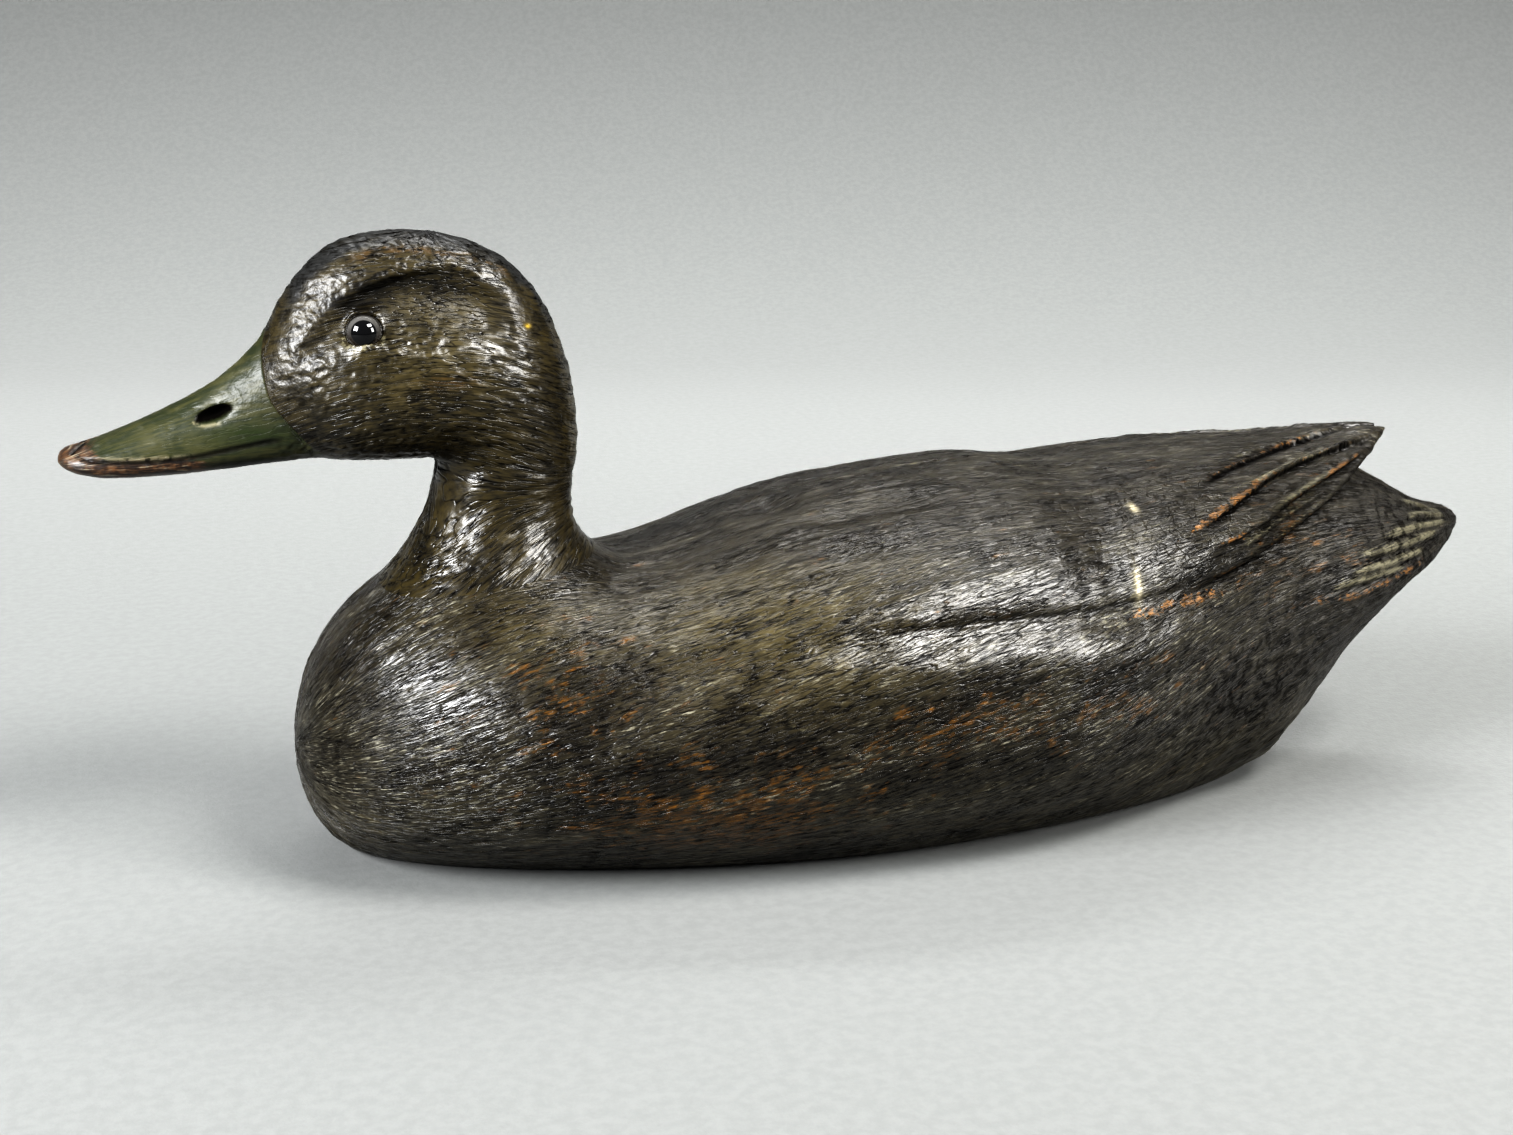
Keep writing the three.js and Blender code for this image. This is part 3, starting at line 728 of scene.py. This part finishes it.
# The putty round each eye is drawn up to the glass, and over its upper and lower edges as lids.
eye_radius = 5.0 * mm
putty_lip = 1.01 * eye_radius
socket_radius = 6.0 * mm
putty_reach = 9.0 * mm
lid_turn = math.radians(23)
eye_turn = math.radians(6)
eye_lift = 0.12
eyes = {}
for name, side in [("left_eye", -1), ("right_eye", 1)]:
    low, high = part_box(name)
    axis = Vector((-math.sin(eye_turn), side * math.cos(eye_turn), eye_lift)).normalized()
    eyes[name] = ((Vector(low) + Vector(high)) / 2, axis)
places = read_places(head)
for centre, axis in eyes.values():
    offset = places - np.array(centre)
    far = np.linalg.norm(offset, axis=1)
    rings = ([0, eye_radius, socket_radius, putty_reach], [0, eye_radius, putty_lip, putty_reach])
    drawn = np.interp(far, *rings)
    drawn = np.where(far < putty_reach, drawn, far)
    out = offset @ np.array(axis)
    aside = offset - out[:, None] * np.array(axis)
    wide = np.maximum(np.linalg.norm(aside, axis=1), 1e-9)
    aside /= wide[:, None]
    lid = lid_turn * aside[:, 2] ** 2
    turn = np.arctan2(wide, out) - lid * ramp(putty_reach, eye_radius, far)
    bent = np.cos(turn)[:, None] * np.array(axis) + np.sin(turn)[:, None] * aside
    places = np.array(centre) + bent * drawn[:, None]
write_places(head, places)
skin = Skin(head)
length, across = head_flow(skin.places)
store(head, "flow", np.column_stack([length, across, 0 * length]), "FLOAT_VECTOR")

# Where each paint of the head lies, with painted shade under the brow and bill and in the nostrils.
# The bill's paint ends in a clean edge, the crown's in a ragged one.
x, y, z = skin.near.T
on_bill = np.zeros(len(x))
chosen, above, along = skin.measure(bill_edge, reach=60)
on_bill[chosen] = ramp(0.3, -0.3, above) * (x[chosen] < -150)
ragged = 1.5 * waves(x, z, long=3, wide=3, seed=4)
pebbled = spot(skin, (-150, -14, 166), (13, 14, 15)) + spot(skin, (-153, -18, 145), (11, 14, 16))
pebbled += spot(skin, (-171, -8, 142), (10, 12, 9)) + 0.6 * spot(skin, (-95, -14, 165), (8, 12, 12))
nostril_turn = math.radians(19)
nostril_place = (-178.2, 135.4)
nostril_size = (5.5, 1.7)
fore, rise = x - nostril_place[0], z - nostril_place[1]
nostril_long = (fore * math.cos(nostril_turn) + rise * math.sin(nostril_turn)) / nostril_size[0]
nostril_high = (rise * math.cos(nostril_turn) - fore * math.sin(nostril_turn)) / nostril_size[1]
nostril = np.hypot(nostril_long, nostril_high) + 0.2 * waves(x, z, long=1.2, wide=1.2, seed=6)
eye_centre = np.array(eyes["left_eye"][0]) / mm
putty_ring = 5.9
putty_width = 0.8
putty = np.exp(-(((np.linalg.norm(skin.near - eye_centre, axis=1) - putty_ring) / putty_width) ** 2))
crown_edge = 11.8


def raised(piece, passes, full):
    """From -1 in a hollow to 1 on a ridge, for hollows and ridges as wide as the passes reach."""
    before, after = smoothed(piece, passes)
    normals = read_places(piece, "normal")
    return np.clip(np.einsum("ij,ij->i", before - after, normals) / full, -1, 1)


masks = {
    "ridge": raised(head, 6, 0.06 * mm),
    "bill": on_bill,
    "mouth": marked(skin, [mouth], 0.7) + marked(skin, [nail], 0.8),
    # Painted shade: the bill's underside is painted black.
    "under": ramp(124, 121, z + 0.04 * (x + 190)) * ramp(-186, -170, x) * (x < -150),
    "rim": 0.8 * marked(skin, [nostril_rim], 0.5) + 0.8 * marked(skin, [mouth], 0.5, 0.9, (0.08, 0.6)),
    "nostril": ramp(1.15, 0.85, nostril),
    "lip": ramp(126, 122, z + 0.05 * (x + 190)) * ramp(-172, -190, x) + ramp(-206, -214, x),
    "bright_green": spot(skin, (-168, -12, 129.5), (12, 20, 3.2)),
    "crown": ramp(11.2, 8.6, np.abs(y) + ragged) * ramp(152, 160, z) * ramp(-160, -154, x),
    "ochre": np.exp(-((np.abs(y) + ragged - crown_edge) ** 2)) * ramp(168, 173, z) * ramp(-142, -134, x),
    "pebbled": pebbled * (1 - eye_dish(skin.places)),
    "putty": putty * ramp(1, -1, z - eye_centre[2]),
    # Painted shade: a dark band under the brow's overhang.
    "brow": 0.85 * marked(skin, [brow], 4.5, -1.0, (0.0, 1.0), 0.2),
    "red": 0.5 * spot(skin, (-116, -26, 144), (7, 12, 2)),
    "face": spot(skin, (-125, -24, 152), (30, 20, 16)),
    "fleck": spot(skin, (-92.9, -18.9, 157.4), (0.9, 1.3, 0.5)) * (skin.places[:, 1] < 0),
}
for name, values in masks.items():
    store(head, name, np.clip(values, -1, 1))

umber = paint(15, 12, 4)
brown = paint(37, 31, 13)
dark_tan = paint(28, 24, 11)
tan = paint(48, 42, 24)
slate = paint(16, 16, 15)
ochre = paint(50, 38, 20)
bill_green = paint(22, 26, 10)
bill_olive = paint(39, 39, 18)
leaf_green = paint(20, 28, 5)
lip_dark = paint(20, 12, 7)
lip_brown = paint(66, 46, 28)
yellow = paint(140, 118, 40)


def head_paint():
    """A brown head, slate crown, olive green bill worn brown at its lip, soot and painted shade in cuts.
    """
    material, shade = begin("worn head and bill paint")
    flow = attribute(shade, "flow", "Vector")
    spread = shade.node("TexCoord", None, None, "Object")
    creases = flow.creases(9.0, 1.6, 7)
    flecks = flow.stretched(4.0, 0.6, 9, 3)
    pebbles = spread.stretched(2.3 * mm, 2.3 * mm, 3, 2)
    clouds = spread.stretched(12 * mm, 12 * mm, 6, 3)
    ridge = attribute(shade, "ridge")
    bill = attribute(shade, "bill")
    lumps = flow.stretched(4.5, 1.6, 15, 3)
    pebbled = attribute(shade, "pebbled").clamp()
    face = attribute(shade, "face")
    crown = attribute(shade, "crown")
    under = attribute(shade, "under")
    mouth_line = attribute(shade, "mouth")
    tone = (0.45 * flecks + 0.3 * lumps + 0.25 * clouds).step(0.42, 0.60)
    colour = tone.over(face.over(umber, dark_tan), face.over(brown, tan))
    colour = (attribute(shade, "ochre") * (flecks + clouds).step(0.85, 1.1)).over(colour, ochre)
    colour = (attribute(shade, "red") * flecks.step(0.45, 0.6)).over(colour, rust)
    # Painted shade: darker in the creases, in hollows of the carving and under the brow.
    deep = 0.7 * creases + 1.8 * (0.45 - clouds) - 0.2 * ridge + attribute(shade, "brow")
    colour = (0.85 * deep.clamp()).over(colour, soot_and_shade)
    colour = (crown * (clouds + flecks).step(0.75, 1.0)).over(colour, slate)
    grain = flow.stretched(7.0, 0.9, 21, 3)
    green = (0.6 * grain + 0.4 * clouds).step(0.42, 0.60).over(bill_green, bill_olive)
    green = (attribute(shade, "bright_green") * grain.step(0.35, 0.55)).over(green, leaf_green)
    lip = (0.6 * grain + 0.4 * pebbles).step(0.44, 0.60).over(lip_dark, lip_brown)
    lip = grain.step(0.57, 0.66).over(lip, bone)
    worn = (attribute(shade, "lip") + 1.5 * (grain - 0.5) + 1.0 * (clouds - 0.5)).step(0.35, 0.75)
    green = worn.over(green, lip)
    # Painted shade under the bill.
    green = (0.8 * under).over(green, soot_and_shade)
    green = (attribute(shade, "rim") * pebbles.step(0.35, 0.5)).over(green, sage)
    colour = bill.over(colour, green)
    colour = mouth_line.over(colour, soot_and_shade)
    colour = (attribute(shade, "putty") * pebbles.step(0.48, 0.6)).over(colour, sage)
    colour = attribute(shade, "fleck").over(colour, yellow)
    height = (0.25 * flecks + 0.42 * lumps - 0.3 * creases) * (1 - pebbled)
    height = height + pebbles * (0.05 + 0.95 * pebbled)
    height = height * (1 - 0.8 * bill * (1 - pebbled)) * (1 - 0.7 * face * (1 - pebbled))
    roughness = 0.30 + 0.2 * (clouds - 0.5) + 0.08 * bill + 0.14 * pebbled + 0.1 * crown
    crevice = (0.6 * creases + (0.7 * flecks + 0.3 * lumps).step(0.46, 0.37)) * (1 - pebbled) * (1 - bill)
    crevice = 0.7 * crevice + 0.5 * pebbled * (1 - 0.6 * bill) * pebbles.step(0.48, 0.36)
    crevice = crevice + 0.35 * crown * flecks.step(0.55, 0.40) + 0.5 * under
    # Painted shade: the nostrils take the dull near black finish; the mouth and nail lines are black
    # joints.
    crevice = (crevice + attribute(shade, "nostril") + mouth_line).clamp()
    return coat_with(material, shade, colour, roughness, height, crevice)


head.data.materials.append(head_paint())
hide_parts("head")
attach(head, "root")

# The eyes are taxidermist's glass: a clear dome over a painted pupil and a thin grey iris, with
# painted light making its top paler. Each is pressed into a drop of putty in its socket.
pupil_radius = 3.4 * mm
pupil_blur = 0.15
iris_radius = 4.3 * mm
rim_blur = 0.4


def eye_glass(centre, axis):
    material, shade = begin("painted glass eye")
    place = shade.node("TexCoord", None, None, "Object")
    away = place.node("VectorMath", {"operation": "SUBTRACT"}, {0: place, 1: centre})
    cross = away.node("VectorMath", {"operation": "CROSS_PRODUCT"}, {0: away, 1: axis})
    radius = cross.node("VectorMath", {"operation": "LENGTH"}, {0: cross}, "Value") * (1 / mm)
    mottle = place.stretched(0.7 * mm, 0.7 * mm, 2, 2)
    lift = away.node("SeparateXYZ", None, {"Vector": away}, "Z") * (1 / mm)
    # Painted light: the iris is paler towards its top, where the light from above falls through the glass.
    iris = (lift + 3 * mottle).step(-0.5, 5.0).over(paint(24, 20, 17), paint(60, 59, 57))
    pupil = radius.step(pupil_radius / mm - pupil_blur, pupil_radius / mm + pupil_blur)
    colour = pupil.over(paint(6, 6, 7), iris)
    colour = radius.step(iris_radius / mm, iris_radius / mm + rim_blur).over(colour, paint(14, 12, 10))
    finish = {"Base Color": colour, "Roughness": 0.05, "Specular IOR Level": shine}
    surface = shade.node("BsdfPrincipled", None, finish)
    shade.node("OutputMaterial", None, {"Surface": surface})
    return material


for name, (centre, axis) in eyes.items():
    ball = bmesh.new()
    bmesh.ops.create_uvsphere(ball, u_segments=48, v_segments=24, radius=eye_radius)
    bmesh.ops.rotate(ball, verts=ball.verts, matrix=axis.to_track_quat("Z", "Y").to_matrix())
    bmesh.ops.translate(ball, verts=ball.verts, vec=centre)
    mesh = bpy.data.meshes.new("glass_" + name)
    ball.to_mesh(mesh)
    ball.free()
    mesh.shade_smooth()
    eye = bpy.data.objects.new("glass_" + name, mesh)
    bpy.context.scene.collection.objects.link(eye)
    mesh.materials.append(eye_glass(centre, axis))
    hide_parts(name)
    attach(eye, "root")

# The decoy stands on a sheet of seamless grey paper, which curves up behind it into a backdrop.
# The sheet is turned to face the camera.
paper_width = 8.0
paper_front = -4.0
curve_start = 0.80
curve_radius = 0.60
curve_steps = 12
paper_top = 2.6
view_turn = math.radians(-15.69)

sheet = bmesh.new()
profile = [(paper_front, 0.0), (curve_start, 0.0)]
for i in range(1, curve_steps + 1):
    turn = math.radians(90 * i / curve_steps)
    profile.append((curve_start + curve_radius * math.sin(turn), curve_radius * (1 - math.cos(turn))))
profile.append((curve_start + curve_radius, paper_top))
path = [sheet.verts.new((-paper_width / 2, y, z)) for y, z in profile]
edges = [sheet.edges.new(pair) for pair in zip(path, path[1:])]
drawn = bmesh.ops.extrude_edge_only(sheet, edges=edges)["geom"]
moved = [item for item in drawn if isinstance(item, bmesh.types.BMVert)]
bmesh.ops.translate(sheet, verts=moved, vec=(paper_width, 0, 0))
bmesh.ops.rotate(sheet, verts=sheet.verts, matrix=Matrix.Rotation(view_turn, 3, "Z"))
bmesh.ops.recalc_face_normals(sheet, faces=sheet.faces)
mesh = bpy.data.meshes.new("paper_sweep")
sheet.to_mesh(mesh)
sheet.free()
mesh.shade_smooth()
floor = bpy.data.objects.new("paper_sweep", mesh)
bpy.context.scene.collection.objects.link(floor)
material, shade = begin("seamless paper")
place = shade.node("TexCoord", None, None, "Object")
fibres = place.stretched(1.2 * mm, 1.2 * mm, 0, 2)
blotches = place.stretched(4.0 * mm, 4.0 * mm, 3, 3)
relief = shade.node("Bump", None, {"Height": fibres, "Distance": 0.1 * mm})
tone = blotches.step(0.3, 0.7).over(paint(88, 89, 88), paint(92, 93, 92))
finish = {"Base Color": tone, "Roughness": 0.9, "Normal": relief, "Specular IOR Level": 0.2}
surface = shade.node("BsdfPrincipled", None, finish)
shade.node("OutputMaterial", None, {"Surface": surface})
mesh.materials.append(material)

# Three softboxes light the decoy: one overhead, one from the tail's side and a strong one from the
# bill's side. A fourth, a long strip above the paper, lights the floor behind the decoy.
warm_white = (1.0, 0.99, 0.97)
cool_white = (0.97, 0.98, 1.0)
pure_white = (1.0, 1.0, 1.0)
sky_light = (0.94, 0.97, 1.0, 1)
sky_strength = 0.25


def softbox(name, place, aim, width, height, power, colour, spread=180):
    light = bpy.data.lights.new(name, "AREA")
    light.shape = "RECTANGLE"
    light.size = width
    light.size_y = height
    light.energy = power
    light.color = colour
    light.spread = math.radians(spread)
    lamp = bpy.data.objects.new(name, light)
    lamp.location = place
    lamp.rotation_euler = (Vector(aim) - Vector(place)).to_track_quat("-Z", "Y").to_euler()
    bpy.context.scene.collection.objects.link(lamp)
    return lamp


softbox("overhead_softbox", (0.42, -0.54, 0.97), (0.04, -0.03, 0.06), 0.50, 0.30, 26, warm_white)
softbox("front_softbox", (0.88, -0.78, 0.56), (0.0, 0.0, 0.1), 0.32, 0.50, 23, warm_white)
softbox("side_softbox", (-1.04, -0.50, 0.68), (-0.1, 0, 0.08), 0.50, 0.50, 60, cool_white)
back = softbox("back_softbox", (0.06, 0.69, 1.30), (0.06, 0.69, 0.0), 2.4, 0.25, 24, pure_white, 80)
back.rotation_euler.z = view_turn
room = bpy.data.worlds.new("room")
room.use_nodes = True
room.node_tree.nodes["Background"].inputs["Color"].default_value = sky_light
room.node_tree.nodes["Background"].inputs["Strength"].default_value = sky_strength
bpy.context.scene.world = room

# The camera stands off the near side, level with the bill. It is turned a little towards the tail
# and looks 15 degrees down.
camera_place = (-0.18833, -0.59201, 0.24310)
camera_turn = (math.radians(75), 0, view_turn)
focal_length = 50
film_width = 36
lens = bpy.data.cameras.new("camera")
lens.lens = focal_length
lens.sensor_width = film_width
camera = bpy.data.objects.new("camera", lens)
camera.location = camera_place
camera.rotation_euler = camera_turn
bpy.context.scene.collection.objects.link(camera)
bpy.context.scene.camera = camera
bpy.context.scene.view_settings.view_transform = "Standard"
bpy.context.scene.view_settings.look = "High Contrast"
